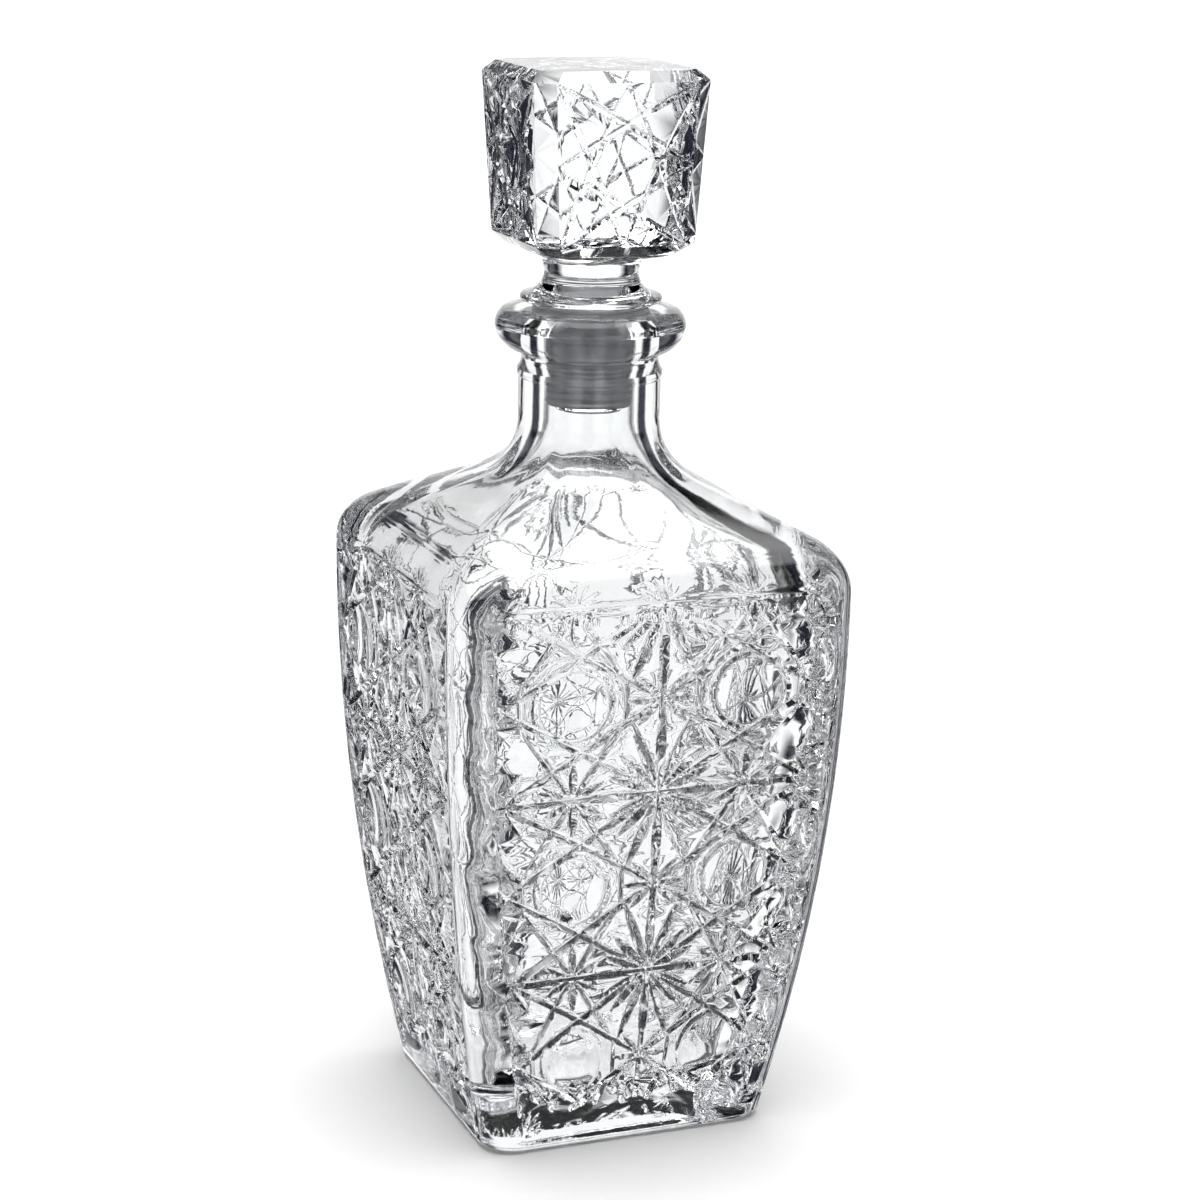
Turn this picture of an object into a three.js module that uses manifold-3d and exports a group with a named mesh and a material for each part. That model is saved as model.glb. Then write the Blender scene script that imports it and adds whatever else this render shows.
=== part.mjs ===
// Square cut-glass decanter: a thick-walled bottle, a solid stopper with a square head, and the
// ribbed plastic seal on the stopper's shank. Millimetres, +Z up, origin under the middle of the base.
import * as THREE from 'three';
import Module from 'manifold-3d';
import { mergeVertices } from 'three/addons/utils/BufferGeometryUtils.js';

const wasm = await Module();
wasm.setup();

// Bottle body: a rounded square that widens upwards in a gentle bow.
const BASE_HALF = 35.6;
const BODY_HALF = 49.1;
const SHOULDER_Z = 131;
const HEEL_RADIUS = 3;
const CORNER_RADIUS = 8;
const WALL = 6.5;
const FLOOR_Z = 12;
const FLOOR_FILLET = 7;

// Shoulder: a flat slope between the rounded top of the sides and the sweep into the neck.
const SHOULDER_SLOPE = THREE.MathUtils.degToRad(30);
const SHOULDER_RADIUS = 13;
const SHOULDER_ARC_Z = SHOULDER_Z + 2;
const NECK_SWEEP = 16;
const ROUND_FROM_Z = 144;
const ROUND_TO_Z = 166;

// Neck and collar are round.
const NECK_RADIUS = 16.7;
const NECK_RING_Z = 179.5;
const NECK_RING_STEP = 0.4;
const NECK_RING_HEIGHT = 3.3;
const NECK_RELIEF = 0.7;
const BORE_RADIUS = 10.5;
const COLLAR_RADIUS = 22.4;
const COLLAR_LOW_RADIUS = 19;
const COLLAR_TOP_RADIUS = 19.8;
const COLLAR_Z = 183.2;
const COLLAR_WIDEST_Z = 190.4;
const RIM_Z = 194.2;
const LIP_RADIUS = 1.2;
const CLEAR_OF_RIM = 5;

// Seal: a sleeve with ribs, and a thin flange between the rim and the stopper's disc.
const GAP = 0.3;
const SEAL_BOTTOM_Z = 172;
const SEAL_RADIUS = 10.15;
const SEAL_BORE = 8.4;
const RIB_COUNT = 7;
const RIB_DEPTH = 0.6;
const RIB_CREST = [0.35, 0.7];
const FLANGE_RADIUS = 14;
const FLANGE_THICKNESS = 1;

// Stopper: shank, disc, waist, and a square head with cut corners that widens upwards.
const SHANK_RADIUS = SEAL_BORE - GAP;
const SHANK_BOTTOM_Z = 170.5;
const DISC_RADIUS = 16.6;
const DISC_Z = RIM_Z + GAP + FLANGE_THICKNESS + GAP;
const DISC_THICKNESS = 1.7;
const DISC_EDGE = 0.6;
const WAIST_RADIUS = 11.1;
const WAIST_SWEEP = 5.2;
const HEAD_Z = 205.6;
const HEAD_UNDERSIDE = 2.7;
const HEAD_HALF_LOW = 19.3;
const HEAD_HALF_HIGH = 21.3;
const HEAD_BEVEL = 2.4;
const HEAD_CORNER = 4;
const TOP_Z = 250;

// Cuts: stars up the middle of each face, small stars half way between them with a bull's-eye either side.
const STAR_PITCH = 44.8;
const STAR_Z = 90.5;
const MAIN_STAR = { rays: 16, inner: 1, outer: 11.5, width: 1.9 };
const SMALL_STAR = { rays: 8, inner: 0.8, outer: 8, width: 1.7 };
const TOP_STAR_DROP = 4;
const SMALL_STAR_ROWS = [0.5, -0.5, -1.45];
const RAY_DEPTH = 1.1;
const LENS_RADIUS = 7.2;
const LENS_DEPTH = 1.2;
const COLUMN_OFFSET = 0.55;
const HEAD_CUT_WIDTH = 1.3;
const HEAD_CUT_DEPTH = 0.7;

// A section has the same number of points at every height: steps along each side, then round its corner.
const SIDE_STEPS = 3;
const CORNER_STEPS = 5;
const ARC_STEPS = 5;
const QUARTER = SIDE_STEPS + CORNER_STEPS;
const SEGMENTS = 4 * QUARTER;

const crystal = () => new THREE.MeshStandardMaterial({
  color: 0xf1f2f0, roughness: 0.03, metalness: 0, transparent: true, opacity: 0.35,
});
const polyethylene = new THREE.MeshStandardMaterial({
  color: 0x9a9aa1, roughness: 0.45, metalness: 0, transparent: true, opacity: 0.8,
});

const sideAt = (z) => {
  const below = Math.max(0, (SHOULDER_Z - z) / SHOULDER_Z);
  return BODY_HALF - (BODY_HALF - BASE_HALF) * below * below;
};

// Point i of a square of half-width `half` whose corners are rounded to `radius`.
function roundedSquare(i, half, radius) {
  const side = Math.floor(i / QUARTER) % 4;
  const step = i % QUARTER;
  const flat = half - radius;
  const point = new THREE.Vector2(half, flat * (2 * step / SIDE_STEPS - 1));
  if (step > SIDE_STEPS) {
    const turn = (step - SIDE_STEPS) / CORNER_STEPS * Math.PI / 2;
    point.set(flat + radius * Math.cos(turn), flat + radius * Math.sin(turn));
  }
  return point.rotateAround(new THREE.Vector2(), side * Math.PI / 2);
}

// Point i of a square of half-width `half` whose corners are cut off by `cut`.
function cutSquare(i, half, cut) {
  const side = Math.floor(i / QUARTER) % 4;
  const step = i % QUARTER;
  const flat = half - cut;
  const point = new THREE.Vector2(half, flat * (2 * step / SIDE_STEPS - 1));
  if (step > SIDE_STEPS) {
    const along = (step - SIDE_STEPS) / CORNER_STEPS;
    point.set(half - cut * along, flat + cut * along);
  }
  return point.rotateAround(new THREE.Vector2(), side * Math.PI / 2);
}

function circle(i, radius) {
  const angle = (i - SIDE_STEPS / 2) / SEGMENTS * 2 * Math.PI;
  return new THREE.Vector2(radius * Math.cos(angle), radius * Math.sin(angle));
}

// Turns a profile of (half-width, height) points, then moves each vertex onto its own section.
function turned(profile, sectionAt = (i, half) => circle(i, half)) {
  const geometry = new THREE.LatheGeometry(profile, SEGMENTS);
  const position = geometry.getAttribute('position');
  for (let i = 0; i <= SEGMENTS; i++) {
    profile.forEach((point, j) => {
      const place = point.x === 0 ? new THREE.Vector2() : sectionAt(i % SEGMENTS, point.x, point.y);
      position.setXYZ(i * profile.length + j, place.x, place.y, point.y);
    });
  }
  return geometry;
}

// A closed three.js geometry as a solid for joins and cuts.
function toSolid(source) {
  const geometry = source.clone();
  geometry.deleteAttribute('normal');
  geometry.deleteAttribute('uv');
  const merged = mergeVertices(geometry.index ? geometry.toNonIndexed() : geometry, 1e-4);
  const corners = merged.index.array;
  const kept = [];
  for (let t = 0; t < corners.length; t += 3) {
    const [a, b, c] = corners.slice(t, t + 3);
    if (a !== b && b !== c && c !== a) kept.push(a, b, c);
  }
  return new wasm.Manifold(new wasm.Mesh({
    numProp: 3,
    vertProperties: new Float32Array(merged.getAttribute('position').array),
    triVerts: new Uint32Array(kept),
  }));
}

function toMesh(name, solid, material) {
  const { vertProperties, triVerts } = solid.getMesh();
  const geometry = new THREE.BufferGeometry();
  geometry.setAttribute('position', new THREE.BufferAttribute(vertProperties, 3));
  geometry.setIndex(new THREE.BufferAttribute(triVerts, 1));
  geometry.computeVertexNormals();
  const mesh = new THREE.Mesh(geometry, material);
  mesh.name = name;
  return mesh;
}

// Points of an arc about (x, z), between two angles in degrees.
function arc(x, z, radius, from, to, steps = ARC_STEPS) {
  const points = [];
  for (let k = 0; k <= steps; k++) {
    const angle = THREE.MathUtils.degToRad(from + (to - from) * k / steps);
    points.push(new THREE.Vector2(x + radius * Math.cos(angle), z + radius * Math.sin(angle)));
  }
  return points;
}

const at = (x, z) => new THREE.Vector2(x, z);

// Side, rounded shoulder edge, slope and sweep into the neck, moved in from the outside by `inset`.
function bodyProfile(inset, fromZ, steps) {
  const points = [];
  for (let k = 0; k <= steps; k++) {
    const z = THREE.MathUtils.lerp(fromZ, SHOULDER_Z, k / steps);
    points.push(at(sideAt(z) - inset, z));
  }
  const rise = 90 - THREE.MathUtils.radToDeg(SHOULDER_SLOPE);
  points.push(...arc(BODY_HALF - SHOULDER_RADIUS, SHOULDER_ARC_Z, SHOULDER_RADIUS - inset, 0, rise));
  const slopeEnd = NECK_RADIUS + NECK_SWEEP * (1 - Math.sin(SHOULDER_SLOPE));
  const slopeStart = BODY_HALF - SHOULDER_RADIUS * (1 - Math.sin(SHOULDER_SLOPE));
  const climb = (slopeStart - slopeEnd) * Math.tan(SHOULDER_SLOPE);
  const slopeTop = SHOULDER_ARC_Z + SHOULDER_RADIUS * Math.cos(SHOULDER_SLOPE) + climb;
  const sweepZ = slopeTop + NECK_SWEEP * Math.cos(SHOULDER_SLOPE);
  points.push(...arc(NECK_RADIUS + NECK_SWEEP, sweepZ, NECK_SWEEP + inset, 180 + rise, 180));
  return points;
}

// Round at the neck, square in the body. Near the axis the corner radius shrinks with the section.
function bodySection(radius) {
  return (i, half, z) => {
    const round = THREE.MathUtils.smoothstep(z, ROUND_FROM_Z, ROUND_TO_Z);
    return roundedSquare(i, half, Math.min(radius, half * 0.8)).lerp(circle(i, half), round);
  };
}

// ---- cut pattern, laid out on one face and repeated on all four ----

// A gem-shaped cutter whose long axis lies in the face, `turn` round from level.
function gem(x, z, turn, length, width, depth) {
  const gemShape = new THREE.OctahedronGeometry(1);
  gemShape.scale(length / 2, depth, width / 2);
  gemShape.rotateY(turn);
  return onFace(gemShape, x, z);
}

// Moves a shape made about the origin, +Y outwards, to its place on the front face.
function onFace(geometry, x, z) {
  const lean = Math.atan((sideAt(z + 0.5) - sideAt(z - 0.5)));
  geometry.applyMatrix4(new THREE.Matrix4().makeBasis(
    new THREE.Vector3(-1, 0, 0),
    new THREE.Vector3(0, -Math.cos(lean), -Math.sin(lean)),
    new THREE.Vector3(0, -Math.sin(lean), Math.cos(lean)),
  ));
  geometry.translate(x, -sideAt(z), z);
  return geometry;
}

function star(x, z, { rays, inner, outer, width }, lowerHalf = false) {
  const cutters = [];
  for (let k = 0; k < rays; k++) {
    const turn = 2 * Math.PI * k / rays;
    if (lowerHalf && Math.sin(turn) > -0.1) continue;
    const middle = (inner + outer) / 2;
    cutters.push(gem(
      x + middle * Math.cos(turn), z + middle * Math.sin(turn), turn, outer - inner, width, RAY_DEPTH,
    ));
  }
  return cutters;
}

// A bull's-eye: a shallow round dish.
function bullsEye(x, z) {
  const ball = (LENS_RADIUS ** 2 + LENS_DEPTH ** 2) / (2 * LENS_DEPTH);
  const dish = new THREE.SphereGeometry(ball, 12, 10);
  dish.translate(0, ball - LENS_DEPTH, 0);
  return onFace(dish, x, z);
}

function faceCutters() {
  const cutters = [];
  const column = (z) => (sideAt(z) - CORNER_RADIUS) * COLUMN_OFFSET;
  cutters.push(...star(0, STAR_Z, MAIN_STAR));
  cutters.push(...star(0, STAR_Z - STAR_PITCH, MAIN_STAR));
  cutters.push(...star(0, STAR_Z + STAR_PITCH - TOP_STAR_DROP, MAIN_STAR, true));
  for (const row of SMALL_STAR_ROWS) {
    const z = STAR_Z + row * STAR_PITCH;
    cutters.push(...star(0, z, SMALL_STAR));
    cutters.push(bullsEye(-column(z), z));
    cutters.push(bullsEye(column(z), z));
  }
  return cutters;
}

function makeBottle() {
  const outside = turned([
    at(0, 0),
    ...arc(sideAt(HEEL_RADIUS) - HEEL_RADIUS, HEEL_RADIUS, HEEL_RADIUS, -90, 0, 3),
    ...bodyProfile(0, HEEL_RADIUS + 8, 9),
    at(NECK_RADIUS, NECK_RING_Z - NECK_RING_HEIGHT / 2),
    at(NECK_RADIUS + NECK_RING_STEP, NECK_RING_Z),
    at(NECK_RADIUS - NECK_RING_STEP, NECK_RING_Z + NECK_RING_HEIGHT / 2),
    at(NECK_RADIUS - NECK_RELIEF, COLLAR_Z),
    at(COLLAR_LOW_RADIUS, COLLAR_Z + 1.5),
    at(COLLAR_RADIUS - 0.9, COLLAR_Z + 4),
    at(COLLAR_RADIUS, COLLAR_WIDEST_Z),
    at(COLLAR_RADIUS - 0.8, COLLAR_WIDEST_Z + 2),
    at(COLLAR_TOP_RADIUS, RIM_Z),
    at(0, RIM_Z),
  ], bodySection(CORNER_RADIUS));
  const floorHalf = sideAt(FLOOR_Z + FLOOR_FILLET) - WALL;
  const inside = turned([
    at(0, FLOOR_Z),
    ...arc(floorHalf - FLOOR_FILLET, FLOOR_Z + FLOOR_FILLET, FLOOR_FILLET, -90, 0, 4),
    ...bodyProfile(WALL, FLOOR_Z + FLOOR_FILLET + 10, 6).map((p) => at(Math.max(p.x, BORE_RADIUS), p.y)),
    at(BORE_RADIUS, RIM_Z - LIP_RADIUS),
    at(BORE_RADIUS + LIP_RADIUS, RIM_Z),
    at(BORE_RADIUS + LIP_RADIUS, RIM_Z + CLEAR_OF_RIM),
    at(0, RIM_Z + CLEAR_OF_RIM),
  ], bodySection(CORNER_RADIUS - 3));
  const cutters = faceCutters().map(toSolid).reduce((all, next) => all.add(next));
  let glass = toSolid(outside);
  for (let face = 0; face < 4; face++) {
    glass = glass.subtract(cutters.rotate([0, 0, 90 * face]));
  }
  return toMesh('bottle', glass.subtract(toSolid(inside)), crystal());
}

// ---- stopper ----

// Round up to the waist, then square with cut corners through the head.
const stopperSection = (i, half, z) => (z > HEAD_Z + 0.1 ? cutSquare(i, half, HEAD_CORNER) : circle(i, half));

// One straight cut between two points of the head's front face, given as (across, up) from -1 to 1.
function headCut(from, to) {
  const low = HEAD_Z + HEAD_UNDERSIDE + HEAD_BEVEL;
  const high = TOP_Z - HEAD_BEVEL;
  const ends = [from, to].map(([across, up]) => {
    const t = (up + 1) / 2;
    const half = THREE.MathUtils.lerp(HEAD_HALF_LOW, HEAD_HALF_HIGH, t);
    return new THREE.Vector3(across * (half - HEAD_CORNER), -half, THREE.MathUtils.lerp(low, high, t));
  });
  const along = ends[1].clone().sub(ends[0]);
  const middle = ends[0].clone().add(ends[1]).divideScalar(2);
  const out = new THREE.Vector3(0, -1, (HEAD_HALF_LOW - HEAD_HALF_HIGH) / (high - low)).normalize();
  const across = new THREE.Vector3().crossVectors(out, along).normalize();
  const cutter = new THREE.OctahedronGeometry(1);
  cutter.scale(HEAD_CUT_WIDTH / 2, HEAD_CUT_DEPTH, along.length() / 2);
  cutter.applyMatrix4(new THREE.Matrix4().makeBasis(across, out, along.clone().normalize()));
  cutter.translate(middle.x, middle.y, middle.z);
  return toSolid(cutter);
}

function makeStopper() {
  const sweepZ = DISC_Z + DISC_THICKNESS + WAIST_SWEEP;
  const body = toSolid(turned([
    at(0, SHANK_BOTTOM_Z),
    at(SHANK_RADIUS - 1, SHANK_BOTTOM_Z),
    at(SHANK_RADIUS, SHANK_BOTTOM_Z + 1),
    at(SHANK_RADIUS, DISC_Z),
    at(DISC_RADIUS - DISC_EDGE, DISC_Z),
    at(DISC_RADIUS, DISC_Z + DISC_THICKNESS / 2),
    at(DISC_RADIUS - DISC_EDGE, DISC_Z + DISC_THICKNESS),
    ...arc(WAIST_RADIUS + WAIST_SWEEP, sweepZ, WAIST_SWEEP, 262, 180),
    at(WAIST_RADIUS + 0.5, HEAD_Z),
    at(HEAD_HALF_LOW - HEAD_BEVEL, HEAD_Z + HEAD_UNDERSIDE),
    at(HEAD_HALF_LOW, HEAD_Z + HEAD_UNDERSIDE + HEAD_BEVEL),
    at(HEAD_HALF_HIGH, TOP_Z - HEAD_BEVEL),
    at(HEAD_HALF_HIGH - HEAD_BEVEL, TOP_Z),
    at(0, TOP_Z),
  ], stopperSection));
  const lines = [];
  for (const across of [-1, 1]) {
    for (const up of [-1, 1]) {
      lines.push([[across, up], [-across, 0]]);
      lines.push([[across, up], [0, -up]]);
    }
  }
  const cuts = lines.map(([from, to]) => headCut(from, to)).reduce((all, next) => all.add(next));
  let glass = body;
  for (let face = 0; face < 4; face++) {
    glass = glass.subtract(cuts.rotate([0, 0, 90 * face]));
  }
  return toMesh('stopper', glass, crystal());
}

// ---- seal ----

function makeSeal() {
  const flangeTop = RIM_Z + GAP + FLANGE_THICKNESS;
  const ribLength = (RIM_Z - LIP_RADIUS - SEAL_BOTTOM_Z) / RIB_COUNT;
  const points = [at(SEAL_BORE, SEAL_BOTTOM_Z)];
  for (let rib = 0; rib < RIB_COUNT; rib++) {
    const z = SEAL_BOTTOM_Z + rib * ribLength;
    points.push(at(SEAL_RADIUS - RIB_DEPTH, z));
    points.push(...RIB_CREST.map((up) => at(SEAL_RADIUS, z + ribLength * up)));
  }
  points.push(at(SEAL_RADIUS - RIB_DEPTH, RIM_Z - LIP_RADIUS));
  points.push(at(SEAL_RADIUS, RIM_Z + GAP));
  points.push(at(FLANGE_RADIUS, RIM_Z + GAP));
  points.push(at(FLANGE_RADIUS, flangeTop));
  points.push(at(SEAL_BORE, flangeTop));
  points.push(points[0].clone());
  return toMesh('stopper_seal', toSolid(turned(points)), polyethylene);
}

const group = new THREE.Group();
group.add(makeBottle(), makeStopper(), makeSeal());

export default group;
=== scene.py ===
import math

import bmesh
import bpy
import numpy as np
from mathutils import Matrix, Vector, noise


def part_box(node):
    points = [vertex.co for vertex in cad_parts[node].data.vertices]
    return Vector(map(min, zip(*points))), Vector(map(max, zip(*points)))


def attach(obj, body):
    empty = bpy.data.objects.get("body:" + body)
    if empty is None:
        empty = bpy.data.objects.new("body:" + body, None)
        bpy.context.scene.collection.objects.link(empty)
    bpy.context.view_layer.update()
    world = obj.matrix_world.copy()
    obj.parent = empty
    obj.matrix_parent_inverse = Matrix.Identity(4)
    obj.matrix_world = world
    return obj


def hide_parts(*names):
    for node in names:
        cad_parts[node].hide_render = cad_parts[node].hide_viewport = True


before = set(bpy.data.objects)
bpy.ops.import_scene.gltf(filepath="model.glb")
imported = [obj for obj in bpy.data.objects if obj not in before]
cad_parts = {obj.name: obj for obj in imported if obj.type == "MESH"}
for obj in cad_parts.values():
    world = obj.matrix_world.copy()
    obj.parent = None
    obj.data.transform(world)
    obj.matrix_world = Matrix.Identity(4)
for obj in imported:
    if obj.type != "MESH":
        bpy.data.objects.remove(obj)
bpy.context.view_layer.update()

mm = 0.001


def boxInMm(node):
    low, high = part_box(node)
    return Vector(low) / mm, Vector(high) / mm


bottleHigh = boxInMm("bottle")[1]
stopperLow, stopperHigh = boxInMm("stopper")
sealLow, sealHigh = boxInMm("stopper_seal")


# ---- nodes and materials ----

def linear(hexColour):
    channels = [int(hexColour[i:i + 2], 16) / 255 for i in (1, 3, 5)]
    return [c / 12.92 if c <= 0.04045 else ((c + 0.055) / 1.055) ** 2.4 for c in channels] + [1.0]


def addNode(tree, kind, settings=None, inputs=None):
    # inputs: a socket name or number and either a value or the output socket that feeds it
    node = tree.nodes.new(kind)
    for name, value in (settings or {}).items():
        setattr(node, name, value)
    for name, value in (inputs or {}).items():
        if isinstance(value, bpy.types.NodeSocket):
            tree.links.new(value, node.inputs[name])
        else:
            node.inputs[name].default_value = value
    return node


def newMaterial(name):
    material = bpy.data.materials.new(name)
    material.use_nodes = True
    material.node_tree.nodes.clear()
    return material, material.node_tree


crystal = {
    "ior": 1.52,             # soda crystal
    "tint": "#FBFCFC",
    "body": "#CCCFDC",       # the faint cool grey that thick glass has
    "bodyDensity": 2.0,      # per metre
    "rippleWidth": 9,        # the slow waves that pressing leaves
    "rippleHeight": 0.12,
    "peelWidth": 1.2,        # the fine skin of fire-polished glass
    "peelHeight": 0.012,
    "peelStrength": 0.5,
    "haze": 0.025,           # the roughest spots
}


def pressedCrystal(name, waviness):
    # pressed and fire-polished: dead clear, with a skin that is never quite flat
    material, tree = newMaterial(name)
    place = addNode(tree, "ShaderNodeTexCoord")
    ripple = addNode(tree, "ShaderNodeTexNoise", None, {
        "Vector": place.outputs["Object"], "Scale": 1 / (crystal["rippleWidth"] * mm),
        "Detail": 1.0, "Roughness": 0.4})
    peel = addNode(tree, "ShaderNodeTexNoise", None, {
        "Vector": place.outputs["Object"], "Scale": 1 / (crystal["peelWidth"] * mm), "Detail": 2.0})
    slowBump = addNode(tree, "ShaderNodeBump", None, {
        "Strength": waviness, "Distance": crystal["rippleHeight"] * mm, "Height": ripple.outputs["Fac"]})
    fineBump = addNode(tree, "ShaderNodeBump", None, {
        "Strength": crystal["peelStrength"], "Distance": crystal["peelHeight"] * mm,
        "Height": peel.outputs["Fac"], "Normal": slowBump.outputs["Normal"]})
    haze = addNode(tree, "ShaderNodeMapRange", None, {
        "Value": ripple.outputs["Fac"], "From Min": 0.3, "From Max": 0.8,
        "To Min": 0.0, "To Max": crystal["haze"]})
    shader = addNode(tree, "ShaderNodeBsdfPrincipled", None, {
        "Base Color": linear(crystal["tint"]), "Roughness": haze.outputs["Result"],
        "IOR": crystal["ior"], "Transmission Weight": 1.0, "Normal": fineBump.outputs["Normal"]})
    body = addNode(tree, "ShaderNodeVolumeAbsorption", None, {
        "Color": linear(crystal["body"]), "Density": crystal["bodyDensity"]})
    addNode(tree, "ShaderNodeOutputMaterial", None, {
        "Surface": shader.outputs["BSDF"], "Volume": body.outputs["Volume"]})
    return material


sealPlastic = {
    "ior": 1.51,
    "clearness": 0.55,
    "milky": "#E4E4E9", "pale": "#F0F0F3",  # thicker and thinner places
    "cloudWidth": 7,
    "grainWidth": 0.6,                      # the mould's fine texture
    "grainHeight": 0.02,
    "smoothest": 0.32, "roughest": 0.46,
}


def ribbedPolyethylene():
    # injection-moulded low-density polyethylene: milky, soft sheen, fine mould grain
    p = sealPlastic
    material, tree = newMaterial("moulded polyethylene")
    place = addNode(tree, "ShaderNodeTexCoord")
    grain = addNode(tree, "ShaderNodeTexNoise", None, {
        "Vector": place.outputs["Object"], "Scale": 1 / (p["grainWidth"] * mm), "Detail": 3.0})
    cloud = addNode(tree, "ShaderNodeTexNoise", None, {
        "Vector": place.outputs["Object"], "Scale": 1 / (p["cloudWidth"] * mm), "Detail": 2.0})
    milk = addNode(tree, "ShaderNodeMix", {"data_type": "RGBA"}, {
        0: cloud.outputs["Fac"], 6: linear(p["milky"]), 7: linear(p["pale"])})
    gloss = addNode(tree, "ShaderNodeMapRange", None, {
        "Value": grain.outputs["Fac"], "From Min": 0.3, "From Max": 0.7,
        "To Min": p["smoothest"], "To Max": p["roughest"]})
    bump = addNode(tree, "ShaderNodeBump", None, {
        "Strength": 0.3, "Distance": p["grainHeight"] * mm, "Height": grain.outputs["Fac"]})
    shader = addNode(tree, "ShaderNodeBsdfPrincipled", None, {
        "Base Color": milk.outputs[2], "Roughness": gloss.outputs["Result"], "IOR": p["ior"],
        "Transmission Weight": p["clearness"], "Normal": bump.outputs["Normal"]})
    addNode(tree, "ShaderNodeOutputMaterial", None, {"Surface": shader.outputs["BSDF"]})
    return material


# ---- building blocks ----

def arc(x, z, radius, start, end, steps):
    angles = np.radians(np.linspace(start, end, steps + 1))
    return [(x + radius * math.cos(a), z + radius * math.sin(a)) for a in angles]


def between(start, end, steps):
    return [tuple(start[i] + (end[i] - start[i]) * k / steps for i in (0, 1)) for k in range(1, steps + 1)]


def evenly(points, spacing):
    # the same line with its points evenly spaced
    line = np.array(points)
    run = np.concatenate([[0], np.cumsum(np.hypot(*np.diff(line, axis=0).T))])
    steps = np.linspace(0, run[-1], int(run[-1] / spacing) + 1)
    return list(zip(np.interp(steps, run, line[:, 0]), np.interp(steps, run, line[:, 1])))


def eased(points, rounds):
    # rounds a line's corners off, ends kept
    line = np.array(points)
    for _ in range(rounds):
        line[1:-1] += (line[:-2] + line[2:] - 2 * line[1:-1]) / 4
    return [tuple(point) for point in line]


def spun(profile, steps):
    # turns an outline of (radius, height) points round the upright axis, in mm.
    # a grid rolled up does it, because the spin operator takes minutes at this many steps.
    bm = bmesh.new()
    bmesh.ops.create_grid(bm, x_segments=steps, y_segments=len(profile) - 1, size=1)
    for vert in bm.verts:
        angle = math.pi * vert.co.x
        radius, height = profile[round((vert.co.y + 1) / 2 * (len(profile) - 1))]
        vert.co = (radius * math.cos(angle), radius * math.sin(angle), height)
    bmesh.ops.remove_doubles(bm, verts=bm.verts[:], dist=1e-4)
    bmesh.ops.dissolve_degenerate(bm, dist=1e-5, edges=bm.edges[:])
    bmesh.ops.recalc_face_normals(bm, faces=bm.faces[:])
    return bm


def placesOf(bm):
    return np.array([v.co for v in bm.verts])


def movePlaces(bm, places):
    for vert, place in zip(bm.verts, places):
        vert.co = place


def toObject(bm, name, scale=mm):
    if scale != 1:
        bmesh.ops.scale(bm, vec=(scale, scale, scale), verts=bm.verts[:])
    mesh = bpy.data.meshes.new(name)
    bm.to_mesh(mesh)
    bm.free()
    piece = bpy.data.objects.new(name, mesh)
    bpy.context.scene.collection.objects.link(piece)
    return piece


def smoothstep(value, start, end):
    t = np.clip((value - start) / (end - start), 0, 1)
    return t * t * (3 - 2 * t)


def quarterTurns(places, sideShare):
    # splits each place round the axis into its side (0-3) and how far along that side and its corner it is
    around = np.arctan2(places[:, 1], places[:, 0]) / (math.pi / 2) + sideShare / 2
    side = np.floor(around)
    return side, around - side


def turnedBy(side, x, y):
    angle = side * math.pi / 2
    return x * np.cos(angle) - y * np.sin(angle), x * np.sin(angle) + y * np.cos(angle)


def freeze(piece):
    # keeps what the modifiers made
    graph = bpy.context.evaluated_depsgraph_get()
    mesh = bpy.data.meshes.new_from_object(piece.evaluated_get(graph))
    old = piece.data
    piece.modifiers.clear()
    piece.data = mesh
    bpy.data.meshes.remove(old)
    return mesh


# ---- cuts ----
# each one deepens a face, which holds the (x, z) of its places in mm, how deep each place is cut,
# and how far it slides to lie on the crease of its cut, so that creases run straight

def newFace(x, z):
    return {"x": x, "z": z, "depth": np.zeros_like(x), "slideX": np.zeros_like(x), "slideZ": np.zeros_like(x)}


def deepen(face, value, slideX=0.0, slideZ=0.0):
    wins = value > face["depth"]
    face["depth"] = np.where(wins, value, face["depth"])
    face["slideX"] = np.where(wins, slideX, face["slideX"])
    face["slideZ"] = np.where(wins, slideZ, face["slideZ"])


def straightCut(face, start, end, deep, slope=0.9, flatness=2, reach=0.26):
    # one pass of a V-edged wheel, deepest half way
    run = math.dist(start, end)
    dx, dz = (end[0] - start[0]) / run, (end[1] - start[1]) / run
    along = (face["x"] - start[0]) * dx + (face["z"] - start[1]) * dz
    off = (face["x"] - start[0]) * dz - (face["z"] - start[1]) * dx
    t = np.abs(2 * along / run - 1)
    near = np.abs(off) < reach
    deepen(face, deep * (1 - t ** flatness) - np.abs(off) * slope,
           np.where(near, -off * dz, 0), np.where(near, off * dx, 0))


def starCut(face, centre, rays, deep, slope=0.9, inner=0.2):
    # rays: (angle in degrees, length)
    for angle, length in rays:
        dx, dz = math.cos(math.radians(angle)), math.sin(math.radians(angle))
        start = (centre[0] + inner * dx, centre[1] + inner * dz)
        straightCut(face, start, (centre[0] + length * dx, centre[1] + length * dz), deep, slope)


def ringCut(face, centre, radius, halfWidth, deep):
    away = np.abs(np.hypot(face["x"] - centre[0], face["z"] - centre[1]) - radius) / halfWidth
    deepen(face, deep * (1 - away))


def dishCut(face, centre, radius, deep):
    away = np.hypot(face["x"] - centre[0], face["z"] - centre[1]) / radius
    deepen(face, deep * (1 - away ** 2))


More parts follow.
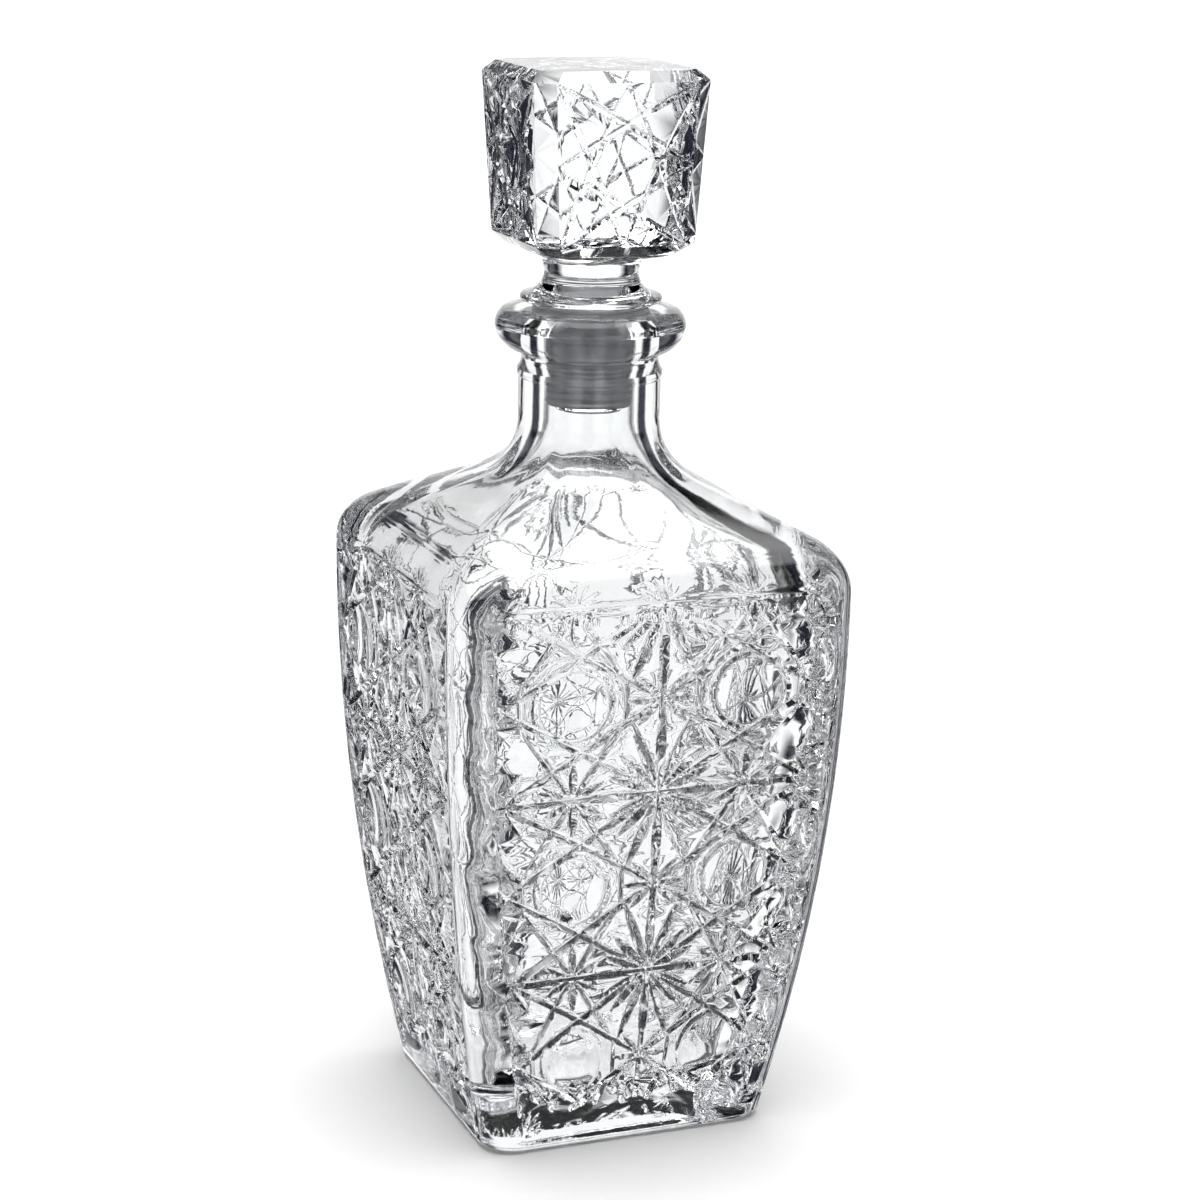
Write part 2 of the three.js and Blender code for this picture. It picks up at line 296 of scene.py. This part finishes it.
def pitCut(face, corners, deep, slope=0.9):
    # a sunk panel with sloping sides
    (ax, az), (bx, bz), (cx, cz) = corners[:3]
    if (bx - ax) * (cz - az) < (bz - az) * (cx - ax):
        corners = corners[::-1]
    inside = np.full_like(face["x"], deep / slope)
    for a, b in zip(corners, corners[1:] + corners[:1]):
        away = ((b[0] - a[0]) * (face["z"] - a[1]) - (b[1] - a[1]) * (face["x"] - a[0])) / math.dist(a, b)
        inside = np.minimum(inside, away)
    deepen(face, inside * slope)


def splitAlongCuts(bm, depth):
    # each quad is split along the diagonal that a cut follows
    bm.verts.index_update()
    oneWay, otherWay = [], []
    for quad in bm.faces:
        if len(quad.verts) == 4:
            a, b, c, d = (depth[v.index] for v in quad.verts)
            (oneWay if abs(a - c) <= abs(b - d) else otherWay).append(quad)
    bmesh.ops.triangulate(bm, faces=oneWay, quad_method="FIXED", ngon_method="BEAUTY")
    bmesh.ops.triangulate(bm, faces=otherWay, quad_method="ALTERNATE", ngon_method="BEAUTY")


# ---- bottle ----

bottleSize = {
    "baseHalf": 35.6, "bodyHalf": bottleHigh.x, "shoulderZ": 131, "heel": 3, "corner": 8,
    "wall": 6.5, "floorZ": 12, "floorFillet": 7,
    "slope": 30, "shoulderRadius": 13, "sweep": 16, "roundFrom": 144, "roundTo": 166,
    "neck": 16.7, "ringZ": 179.5, "bore": 10.5, "collar": 22.4, "collarZ": 183.2, "rimZ": bottleHigh.z,
    "kickDepth": 0.9, "kickHalf": 27,
    "grid": 0.42, "sideSteps": 196, "cornerSteps": 20, "keep": 0.205, "sharp": 24,
    "hollowCorner": 15, "hollowEase": 40,     # the hollow is rounder than the outside
    "hollowSideSteps": 28, "hollowCornerSteps": 20,
    "slowWave": 0.35, "slowWaveWidth": 17, "quickWave": 0.3, "quickWaveWidth": 5,
}


def bodyHalfAt(z):
    below = np.maximum(0, (bottleSize["shoulderZ"] - z) / bottleSize["shoulderZ"])
    return bottleSize["bodyHalf"] - (bottleSize["bodyHalf"] - bottleSize["baseHalf"]) * below ** 2


def bodyOutline(inset, fromZ, sideSteps, arcSteps, slopeSteps):
    # side, rounded shoulder edge, slope and sweep into the neck
    b = bottleSize
    rise = 90 - b["slope"]
    tilt = math.radians(b["slope"])
    roundHalf, roundZ = b["bodyHalf"] - b["shoulderRadius"], b["shoulderZ"] + 2
    points = [(float(bodyHalfAt(z)) - inset, z) for z in np.linspace(fromZ, b["shoulderZ"], sideSteps + 1)]
    points += arc(roundHalf, roundZ, b["shoulderRadius"] - inset, 0, rise, arcSteps)
    slopeEnd = b["neck"] + b["sweep"] * (1 - math.sin(tilt))
    slopeStart = b["bodyHalf"] - b["shoulderRadius"] * (1 - math.sin(tilt))
    top = roundZ + b["shoulderRadius"] * math.cos(tilt) + (slopeStart - slopeEnd) * math.tan(tilt)
    sweepZ = top + b["sweep"] * math.cos(tilt)
    sweep = arc(b["neck"] + b["sweep"], sweepZ, b["sweep"] + inset, 180 + rise, 180, arcSteps)
    points += between(points[-1], sweep[0], slopeSteps)
    return points + sweep[1:]


def ontoSquare(places, corner, sideShare):
    # moves a turned body onto rounded-square sections that become round at the neck. it also gives
    # each place's side, its distance across that side (1e3 on a corner), and its half-width
    b = bottleSize
    half, z = np.hypot(places[:, 0], places[:, 1]), places[:, 2]
    side, share = quarterTurns(places, sideShare)
    radius = np.minimum(corner, half * 0.8)
    flat = half - radius
    onSide = share <= sideShare
    bend = np.clip((share - sideShare) / (1 - sideShare), 0, 1) * math.pi / 2
    x = np.where(onSide, half, flat + radius * np.cos(bend))
    y = np.where(onSide, flat * (2 * share / sideShare - 1), flat + radius * np.sin(bend))
    roundness = smoothstep(z, b["roundFrom"], b["roundTo"])
    angle = (share - sideShare / 2) * math.pi / 2
    mixedX = x * (1 - roundness) + half * np.cos(angle) * roundness
    mixedY = y * (1 - roundness) + half * np.sin(angle) * roundness
    newX, newY = turnedBy(side, mixedX, mixedY)
    return np.column_stack([newX, newY, z]), side, np.where(onSide, y, 1e3), half


patternSize = {
    "starZ": 90.5, "pitch": 44.8, "column": 21.0, "edge": 40.0,  # middle star, and how the lattice repeats
    "ring": 9.2, "ringHalf": 0.9, "ringDeep": 0.5,               # round each bull's-eye
    "dish": 7.9, "dishDeep": 1.3,
    "lineDeep": 0.9, "uprightDeep": 0.8,                         # the lattice
    "diamondHalf": 12.5, "diamondTall": 18.5, "diamondDeep": 0.85, "linkFrom": 17, "linkDeep": 0.6,
    "starDeep": 1.25, "rays": [20.5, 13.5, 14.5, 20.5, 21.5],    # from the level ray to the upright one
    "smallStar": 8.5, "sideStar": 8.6, "smallDeep": 0.85, "halfStar": 9, "halfDeep": 0.9, "crossDeep": 1.0,
    "crossRays": [(0, 16), (180, 14), (90, 9.5), (270, 9.5)],
    "pitX": 39.6, "pitDeep": 1.3,                                # sunk triangles that make the edge zig-zag:
    "pits": [(-15, -3.5, 5.2, -5.5), (-2.4, 2.4, 3.2, 0)],       # ends along the edge, reach and tip of each
    "topEnd": 138.5, "scallop": 1.6, "lowEnd": 12.2, "lowScallop": 1.7,
    "leafPitch": 8.0, "leafLean": 4.5, "leafFrom": 13.2, "leafTo": 19.5, "leafDeep": 1.0,
    "fan": (38.5, 4.6), "fanRay": 9, "fanDeep": 0.5,
    "straightTo": 128,                                           # above it creases aren't slid
}


def facePattern(x, up):
    # the cut pattern of one face: a lattice that repeats up the face, so one cell is worked out.
    # x is scaled so that every row is as wide as the widest one.
    p = patternSize
    pitch, column, edge = p["pitch"], p["column"], p["edge"]
    half = pitch / 2
    face = newFace(x, (up - p["starZ"] + half) % pitch - half)
    # bull's-eyes first, each in its ring
    for cx in (-column, column):
        for cz in (-half, half):
            ringCut(face, (cx, cz), p["ring"], p["ringHalf"], p["ringDeep"])
            dishCut(face, (cx, cz), p["dish"], p["dishDeep"])
    # lattice lines
    reachX = edge * 0.94
    for sx in (-1, 1):
        for sz in (-1, 1):
            straightCut(face, (0, 0), (sx * reachX, sz * half), p["lineDeep"], flatness=6)
            straightCut(face, (0, sz * half), (sx * reachX, 0), p["lineDeep"], flatness=6)
            for out in (-p["diamondHalf"], p["diamondHalf"]):
                side = sx * column + out
                straightCut(face, (sx * column, 0), (side, sz * p["diamondTall"]),
                            p["diamondDeep"], flatness=4)
                straightCut(face, (side, sz * p["linkFrom"]), (side, sz * (pitch - p["linkFrom"])),
                            p["linkDeep"], flatness=4)
    straightCut(face, (-edge, 0), (edge, 0), p["lineDeep"], flatness=10)
    straightCut(face, (0, -pitch), (0, pitch), p["uprightDeep"], flatness=12)
    # main star
    rays = [(22.5 * k, p["rays"][min(k % 8, 8 - k % 8)]) for k in range(16)]
    starCut(face, (0, 0), rays, p["starDeep"], 1.0, 0.3)
    # small stars between the main ones, and at the sides
    for cz in (-half, half):
        starCut(face, (0, cz), [(45 * k, p["smallStar"]) for k in range(8)], p["smallDeep"])
    for cx in (-column, column):
        starCut(face, (cx, 0), [(a, p["sideStar"]) for a in (-28, 28, 152, 208)], p["smallDeep"])
        starCut(face, (cx, 0), p["crossRays"], p["crossDeep"])
    # half stars on the edges, with the sunk triangles between
    for sx in (-1, 1):
        inward, out = 270 - sx * 90, sx * p["pitX"]
        starCut(face, (sx * edge * 0.945, 0), [(inward + 30 * k, p["halfStar"]) for k in range(-2, 3)],
                p["halfDeep"])
        for sz in (-1, 1):
            for low, high, tip, tipUp in p["pits"]:
                pitCut(face, [(out, sz * (half + low)), (out, sz * (half + high)),
                              (out - sx * tip, sz * (half + tipUp))], p["pitDeep"])
    # the cutting runs out below the shoulder and in scallops above the base
    topEnd = p["topEnd"] + p["scallop"] * np.cos(x / edge * math.pi * 4)
    lowEnd = p["lowEnd"] - p["lowScallop"] * np.abs(np.sin(x / edge * math.pi * 2.5))
    face["depth"] *= 1 - smoothstep(up, topEnd - 8, topEnd + 2)
    face["depth"] *= smoothstep(up, lowEnd - 0.6, lowEnd + 0.6)
    # leaves along the foot and a little fan in each base corner
    face["z"] = up
    for k in range(-4, 5):
        foot = k * p["leafPitch"]
        lean = p["leafLean"] if k % 2 else -p["leafLean"]
        straightCut(face, (foot, p["leafFrom"]), (foot + lean, p["leafTo"]), p["leafDeep"], 0.6)
    fanX, fanZ = p["fan"]
    for sx in (-1, 1):
        rays = [(90 + sx * (10 + 17 * k), p["fanRay"] - abs(k - 2)) for k in range(5)]
        starCut(face, (sx * fanX, fanZ), rays, p["fanDeep"], 0.8)
    face["depth"] = np.maximum(face["depth"], 0) * smoothstep(edge - np.abs(x), 0, 0.5)
    still = (up > p["straightTo"]) | (np.abs(x) > edge - 0.6)
    face["slideX"][still] = 0
    face["slideZ"][still] = 0
    return face


def makeBottleOutside():
    b = bottleSize
    sideRows = int((b["shoulderZ"] - b["heel"]) / b["grid"])
    kick, heelX = b["kickHalf"], float(bodyHalfAt(b["heel"])) - b["heel"]
    outline = [(0, b["kickDepth"]), (kick - 4, b["kickDepth"]), (kick, 0.3), (kick + 1.5, 0)]
    outline += arc(heelX, b["heel"], b["heel"], -90, 0, 6)[:-1]
    outline += bodyOutline(0, b["heel"], sideRows, 32, 18)
    # the neck with its small step ring
    neck, ring = b["neck"], b["ringZ"]
    outline += between(outline[-1], (neck, ring - 1.6), 3)
    outline += [(neck + out, ring + up) for out, up in (
        (0.3, -1.0), (0.42, -0.3), (0.35, 0.5), (-0.1, 1.2), (-0.5, 2.2))]
    # the collar and its flat rim
    collar, collarZ, rim = b["collar"], b["collarZ"], b["rimZ"]
    outline += [(neck - 0.65, collarZ - 0.5), (neck - 0.3, collarZ + 0.4)]
    outline += [(collar - inside, collarZ + up) for inside, up in (
        (3.6, 1.5), (2.2, 2.5), (0.9, 4.1), (0.3, 5.7), (0.08, 6.7), (0, 6.9), (0.1, 7.3), (0.15, 8.2),
        (0.7, 9.5))]
    outline += [(collar - 1.6, rim - 0.5), (collar - 2.8, rim - 0.05), (collar - 4.5, rim), (0, rim)]
    perSide = b["sideSteps"] + b["cornerSteps"]
    bm = spun(outline, 4 * perSide)
    places, side, across, half = ontoSquare(placesOf(bm), b["corner"], b["sideSteps"] / perSide)
    z = places[:, 2]

    edge = patternSize["edge"]
    stretch = (half - b["corner"]) / edge
    cut = (np.abs(across / stretch) <= edge) & (z > b["heel"]) & (z < 143)
    across, stretch, oldZ = across[cut] / stretch[cut], stretch[cut], z[cut]
    first = facePattern(across, oldZ)
    slideX, slideZ = first["slideX"], first["slideZ"]
    newZ = oldZ + slideZ
    depth = facePattern(across + slideX, newZ)["depth"]
    lean = np.where(newZ < b["shoulderZ"], np.arctan(bodyHalfAt(newZ + 0.5) - bodyHalfAt(newZ - 0.5)),
                    -smoothstep(newZ, b["shoulderZ"] + 2, 145) * math.radians(60))
    slideOut = np.where(newZ < b["shoulderZ"], bodyHalfAt(newZ) - bodyHalfAt(oldZ), 0)
    moveX, moveY = turnedBy(side[cut], slideOut - np.cos(lean) * depth, slideX * stretch)
    places[cut] += np.column_stack([moveX, moveY, slideZ + np.sin(lean) * depth])
    movePlaces(bm, places)
    allDepths = np.zeros(len(z))
    allDepths[cut] = depth
    splitAlongCuts(bm, allDepths)
    return toObject(bm, "bottleGlass")


def makeHollow():
    # a smooth wall that wanders a little, as pressed glass does inside
    b = bottleSize
    floor, rim, bore = b["floorZ"], b["rimZ"], b["bore"]
    wallZ = floor + b["floorFillet"]
    floorHalf = float(bodyHalfAt(wallZ)) - b["wall"]
    inner = [(0, floor + 1.5), (8, floor + 1.2), (16, floor + 0.5)]
    inner += arc(floorHalf - b["floorFillet"], wallZ, b["floorFillet"], -90, 0, 8)[:-1]
    inner += eased(evenly(bodyOutline(b["wall"], wallZ, 44, 10, 8), 1.6), b["hollowEase"])
    inner = [(max(x, bore) if z > 150 else x, z) for x, z in inner]
    inner += [(bore, rim - 8), (bore, rim - 1.4), (bore + 0.35, rim - 0.5), (bore + 1.2, rim + 0.01),
              (bore + 1.2, rim + 4), (0, rim + 4)]
    perSide = b["hollowSideSteps"] + b["hollowCornerSteps"]
    bm = spun(inner, 4 * perSide)
    places, _, _, half = ontoSquare(placesOf(bm), b["hollowCorner"], b["hollowSideSteps"] / perSide)
    for i, (x, y, z) in enumerate(places):
        if z < b["ringZ"] - 1.5:
            point = Vector((x, y, z))
            calm = 1 - smoothstep(z, b["shoulderZ"] - 6, b["shoulderZ"] + 8)
            wander = (b["slowWave"] * noise.noise(point / b["slowWaveWidth"])
                      + b["quickWave"] * calm * noise.noise(point / b["quickWaveWidth"]))
            out = Vector((x, y, 0)).normalized() * wander * min(1, half[i] / 20)
            places[i, :2] += out.x, out.y
    movePlaces(bm, places)
    return toObject(bm, "bottleHollow")


def makeBottle():
    piece = makeBottleOutside()
    print("bottle outside:", len(piece.data.polygons), "faces")
    hollow = makeHollow()
    thin = piece.modifiers.new("thin", "DECIMATE")
    thin.ratio = bottleSize["keep"]
    freeze(piece)
    hole = piece.modifiers.new("hollow", "BOOLEAN")
    hole.operation = "DIFFERENCE"
    hole.solver = "MANIFOLD"
    hole.object = hollow
    mesh = freeze(piece)
    bpy.data.objects.remove(hollow)
    mesh.shade_smooth()
    mesh.set_sharp_from_angle(angle=math.radians(bottleSize["sharp"]))
    print("bottle:", len(mesh.polygons), "faces")
    return piece


bottle = makeBottle()
bottle.data.materials.clear()
bottle.data.materials.append(pressedCrystal("pressed crystal", 0.5))
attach(bottle, "bottle")
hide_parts("bottle")


# ---- stopper ----

stopperSize = {
    "shank": 8.1, "bottomZ": stopperLow.z, "discZ": 195.8, "disc": 16.6, "discThick": 1.7, "waist": 11.1,
    "headZ": 205.6, "headFoot": 2.7,  # where the head starts, and how far up its flat sides do
    "halfLow": 19.3, "halfHigh": stopperHigh.x, "bevel": 2.4, "cut": 4.0, "topZ": stopperHigh.z,
    "sideSteps": 96, "cornerSteps": 12, "keep": 0.35, "sharp": 20,
    "cutDeep": 0.65, "cutSlope": 0.8, "cutReach": 0.2,
}


def octagram(u, v, wide, tall):
    # eight cuts on a face of the head, from each corner to the middles of the two far sides.
    # u and v run from -1 to 1 across and up the face. gives the depth and the slide along each.
    s = stopperSize
    head = newFace(u * wide, v * tall)
    for sx in (-1, 1):
        for sz in (-1, 1):
            for end in ((-sx * wide, 0), (0, -sz * tall)):
                straightCut(head, (sx * wide, sz * tall), end, s["cutDeep"], s["cutSlope"], 4, s["cutReach"])
    rimFade = smoothstep(1 - np.abs(u), 0, 0.02) * smoothstep(1 - np.abs(v), 0, 0.02)
    return head["depth"] * rimFade, head["slideX"] / wide * rimFade, head["slideZ"] / tall * rimFade


def stopperOutline(low, high):
    # shank, disc, waist and head, up the middle of one side
    s = stopperSize
    shank, disc, discZ, waist, head = s["shank"], s["disc"], s["discZ"], s["waist"], s["headZ"]
    outline = [(0, s["bottomZ"]), (shank - 1.2, s["bottomZ"])]
    outline += arc(shank - 1.2, s["bottomZ"] + 1.2, 1.2, -90, 0, 4)[1:]
    outline += [(shank, discZ - 0.3), (shank + 0.3, discZ)]
    edge = s["discThick"] / 2
    outline += [(disc - edge - 3, discZ)] + arc(disc - edge, discZ + edge, edge, -90, 90, 8)
    outline += arc(waist + 5.2, discZ + s["discThick"] + 5.2, 5.2, 262, 180, 12)
    outline += [(waist + 0.15, head - 1.5), (waist + 0.6, head)]
    for end, steps in (((s["halfLow"] - s["bevel"], head + s["headFoot"]), 8), ((s["halfLow"], low), 4),
                       ((s["halfHigh"], high), 108), ((s["halfHigh"] - s["bevel"], s["topZ"]), 5),
                       ((1.0, s["topZ"]), 12)):
        outline += between(outline[-1], end, steps)
    return outline + [(0, s["topZ"])]


def makeStopper():
    s = stopperSize
    low, high = s["headZ"] + s["headFoot"] + s["bevel"], s["topZ"] - s["bevel"]
    perSide = s["sideSteps"] + s["cornerSteps"]
    sideShare = s["sideSteps"] / perSide
    bm = spun(stopperOutline(low, high), 4 * perSide)
    places = placesOf(bm)
    half, z = np.hypot(places[:, 0], places[:, 1]), places[:, 2]
    side, share = quarterTurns(places, sideShare)
    # a square with its corners cut off, round below the head
    cut = np.minimum(s["cut"], half * 0.3)
    flat = half - cut
    along = np.clip((share - sideShare) / (1 - sideShare), 0, 1)
    x = np.where(share <= sideShare, half, half - cut * along)
    y = np.where(share <= sideShare, flat * (2 * share / sideShare - 1), flat + cut * along)
    angle = (share - sideShare / 2) * math.pi / 2
    squareness = smoothstep(z, s["headZ"] + 0.05, s["headZ"] + 2.2)
    x = x * squareness + half * np.cos(angle) * (1 - squareness)
    y = y * squareness + half * np.sin(angle) * (1 - squareness)
    # the cuts
    face = (share <= sideShare) & (z >= low - 0.01) & (z <= high + 0.01)
    wide, tall = s["halfHigh"] - s["cut"] - 1, (high - low) / 2
    u = y[face] / np.maximum(flat[face], 1)
    v = (z[face] - low) / (high - low) * 2 - 1
    _, slideU, slideV = octagram(u, v, wide, tall)
    depth, _, _ = octagram(u + slideU, v + slideV, wide, tall)
    x[face] += slideV * (s["halfHigh"] - s["halfLow"]) / 2 - depth
    y[face] += slideU * flat[face]
    z = z.copy()
    z[face] += slideV * tall
    newX, newY = turnedBy(side, x, y)
    movePlaces(bm, np.column_stack([newX, newY, z]))
    allDepths = np.zeros(len(z))
    allDepths[face] = depth
    splitAlongCuts(bm, allDepths)
    piece = toObject(bm, "stopperGlass")
    thin = piece.modifiers.new("thin", "DECIMATE")
    thin.ratio = s["keep"]
    mesh = freeze(piece)
    mesh.shade_smooth()
    mesh.set_sharp_from_angle(angle=math.radians(s["sharp"]))
    print("stopper:", len(mesh.polygons), "faces")
    return piece


stopper = makeStopper()
stopper.data.materials.append(pressedCrystal("pressed crystal stopper", 0.3))
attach(stopper, "stopper")
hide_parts("stopper")


# ---- seal ----

sealSize = {"bore": 8.4, "radius": 10.15, "flange": sealHigh.x, "bottomZ": sealLow.z, "topZ": sealHigh.z,
            "flangeThick": 1.0, "ribs": 12, "ribDepth": 0.6, "steps": 128, "sharp": 40}


def makeSeal():
    s = sealSize
    bore, radius, core = s["bore"], s["radius"], s["radius"] - s["ribDepth"]
    under = s["topZ"] - s["flangeThick"]
    pitch = (under - 2 - s["bottomZ"]) / s["ribs"]
    outline = [(bore, s["bottomZ"] + 0.3), (bore + 0.3, s["bottomZ"])]
    for rib in range(s["ribs"]):
        # one rib: a steep lower side and a rounded crown
        z = s["bottomZ"] + rib * pitch
        outline += [(out, z + share * pitch) for out, share in (
            (core, 0.02), (radius - 0.15, 0.3), (radius, 0.5), (radius - 0.1, 0.75), (core + 0.1, 0.92))]
    outline += [(core, under - 2), (radius, under - 0.6), (radius + 0.4, under)]
    outline += arc(s["flange"] - 0.5, under + 0.5, 0.5, -90, 90, 6)
    outline += [(bore + 0.3, s["topZ"]), (bore, s["topZ"] - 0.3), outline[0]]
    piece = toObject(spun(outline, s["steps"]), "sealPlastic")
    piece.data.shade_smooth()
    piece.data.set_sharp_from_angle(angle=math.radians(s["sharp"]))
    print("seal:", len(piece.data.polygons), "faces")
    return piece


seal = makeSeal()
seal.data.materials.append(ribbedPolyethylene())
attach(seal, "seal")
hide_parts("stopper_seal")


# ---- floor, light and camera ----

white = (1.0, 1.0, 1.0)
shade = (0.020, 0.022, 0.034)
studio = {
    "floorHalf": 12.0, "floor": "#F6F6F6", "bright": 1.15,       # metres
    "backdropRadius": 11.0, "backdropHeight": 8.0,
    # white screens stand round the table with dark gaps between; bearings from +Y towards +X
    "screens": [(-4, 47), (84, 96), (129, 141), (174, 186), (219, 231), (264, 276), (309, 321)],
    "screenEdge": 8,
    # how bright they are from straight down, where the table is, to straight up
    "bands": [(-1, 1), (-0.94, 0.9), (-0.88, 0.04), (-0.72, 0.04), (-0.64, 0.5), (-0.54, 1),
              (0.26, 1), (0.32, 0.4), (0.38, 0.04), (0.7, 0.04), (0.8, 0)],
    "topFrom": 0.76, "topTo": 0.86, "topBright": 3.4,            # a soft box overhead
}


def setStops(ramp, stops):
    while len(ramp.elements) > 1:
        ramp.elements.remove(ramp.elements[0])
    for k, (position, colour) in enumerate(stops):
        stop = ramp.elements[0] if k == 0 else ramp.elements.new(position)
        stop.position = position
        stop.color = (*colour, 1)


def screenStops():
    edge = studio["screenEdge"]
    stops = [(0, white)]
    for start, end in studio["screens"]:
        if start > 0:
            stops += [(start - edge, shade), (start, white)]
        stops += [(end, white), (end + edge, shade)]
    first = studio["screens"][0][0] + 360
    stops += [(first - edge, shade), (first, white)]
    return [(bearingAt / 360, colour) for bearingAt, colour in stops]


def makeFloor():
    bm = bmesh.new()
    bmesh.ops.create_grid(bm, x_segments=1, y_segments=1, size=studio["floorHalf"])
    bmesh.ops.translate(bm, vec=(0, 0, -0.2 * mm), verts=bm.verts[:])
    floor = toObject(bm, "floor", 1)
    material, tree = newMaterial("matt paper")
    paper = addNode(tree, "ShaderNodeBsdfDiffuse", None, {"Color": linear(studio["floor"])})
    addNode(tree, "ShaderNodeOutputMaterial", None, {"Surface": paper.outputs["BSDF"]})
    floor.data.materials.append(material)
    for rays in ("glossy", "transmission"):
        setattr(floor, "visible_" + rays, False)


def makeBackdrop():
    # a lit paper roll all round, for the camera only: the glass sees the screens beyond it
    height = studio["backdropHeight"]
    bm = bmesh.new()
    bmesh.ops.create_cone(bm, cap_ends=False, segments=96, radius1=studio["backdropRadius"],
                          radius2=studio["backdropRadius"], depth=height)
    bmesh.ops.translate(bm, vec=(0, 0, height / 2 - 1), verts=bm.verts[:])
    backdrop = toObject(bm, "backdrop", 1)
    material, tree = newMaterial("lit paper")
    paper = addNode(tree, "ShaderNodeEmission", None, {
        "Color": linear("#FFFFFF"), "Strength": studio["bright"]})
    addNode(tree, "ShaderNodeOutputMaterial", None, {"Surface": paper.outputs["Emission"]})
    material.cycles.emission_sampling = "NONE"
    backdrop.data.materials.append(material)
    for rays in ("diffuse", "glossy", "transmission", "volume_scatter", "shadow"):
        setattr(backdrop, "visible_" + rays, False)


def makeWorld():
    world = bpy.data.worlds.new("studio")
    bpy.context.scene.world = world
    world.use_nodes = True
    tree = world.node_tree
    tree.nodes.clear()
    way = addNode(tree, "ShaderNodeTexCoord")
    parts = addNode(tree, "ShaderNodeSeparateXYZ", None, {0: way.outputs["Generated"]})
    up = parts.outputs["Z"]
    bearing = addNode(tree, "ShaderNodeMath", {"operation": "ARCTAN2"}, {
        0: parts.outputs["X"], 1: parts.outputs["Y"]})
    wholeTurn = addNode(tree, "ShaderNodeMath", {"operation": "FLOORED_MODULO"}, {
        0: bearing.outputs[0], 1: math.tau})
    around = addNode(tree, "ShaderNodeMapRange", None, {
        "Value": wholeTurn.outputs[0], "From Min": 0.0, "From Max": math.tau, "To Min": 0.0, "To Max": 1.0})
    screens = addNode(tree, "ShaderNodeValToRGB", None, {0: around.outputs[0]})
    setStops(screens.color_ramp, screenStops())
    height = addNode(tree, "ShaderNodeMapRange", None, {
        "Value": up, "From Min": -1.0, "From Max": 1.0, "To Min": 0.0, "To Max": 1.0})
    band = addNode(tree, "ShaderNodeValToRGB", None, {0: height.outputs[0]})
    setStops(band.color_ramp, [((z + 1) / 2, (value,) * 3) for z, value in studio["bands"]])
    top = addNode(tree, "ShaderNodeMapRange", {"interpolation_type": "SMOOTHSTEP"}, {
        "Value": up, "From Min": studio["topFrom"], "From Max": studio["topTo"],
        "To Min": 0.0, "To Max": studio["topBright"]})
    side = addNode(tree, "ShaderNodeMix", {"data_type": "RGBA", "blend_type": "MULTIPLY"}, {
        0: 1.0, 6: band.outputs["Color"], 7: screens.outputs["Color"]})
    total = addNode(tree, "ShaderNodeMix", {"data_type": "RGBA", "blend_type": "ADD"}, {
        0: 1.0, 6: side.outputs[2], 7: top.outputs[0]})
    light = addNode(tree, "ShaderNodeBackground", None, {
        "Color": total.outputs[2], "Strength": studio["bright"]})
    addNode(tree, "ShaderNodeOutputWorld", None, {"Surface": light.outputs["Background"]})


def setGlassRendering():
    # light has to pass many surfaces before it is out of the glass again
    scene = bpy.context.scene
    scene.view_settings.view_transform = "Standard"
    scene.view_settings.gamma = 0.9
    scene.cycles.max_bounces = 24
    scene.cycles.transmission_bounces = 24
    scene.cycles.glossy_bounces = 12
    scene.cycles.transparent_max_bounces = 16


cameraSize = {"lens": 91.81, "sensor": 36, "place": (-258.9, -656.6, 309.4),
              "down": 14.745, "turn": -21.805, "roll": 1.141}  # degrees


def makeCamera():
    data = bpy.data.cameras.new("camera")
    data.lens = cameraSize["lens"]
    data.sensor_width = cameraSize["sensor"]
    camera = bpy.data.objects.new("camera", data)
    bpy.context.scene.collection.objects.link(camera)
    camera.matrix_world = (Matrix.Translation(Vector(cameraSize["place"]) * mm)
                           @ Matrix.Rotation(math.radians(cameraSize["turn"]), 4, "Z")
                           @ Matrix.Rotation(math.radians(90 - cameraSize["down"]), 4, "X")
                           @ Matrix.Rotation(math.radians(cameraSize["roll"]), 4, "Z"))
    bpy.context.scene.camera = camera


makeFloor()
makeBackdrop()
makeWorld()
setGlassRendering()
makeCamera()
print("studio and camera ready")
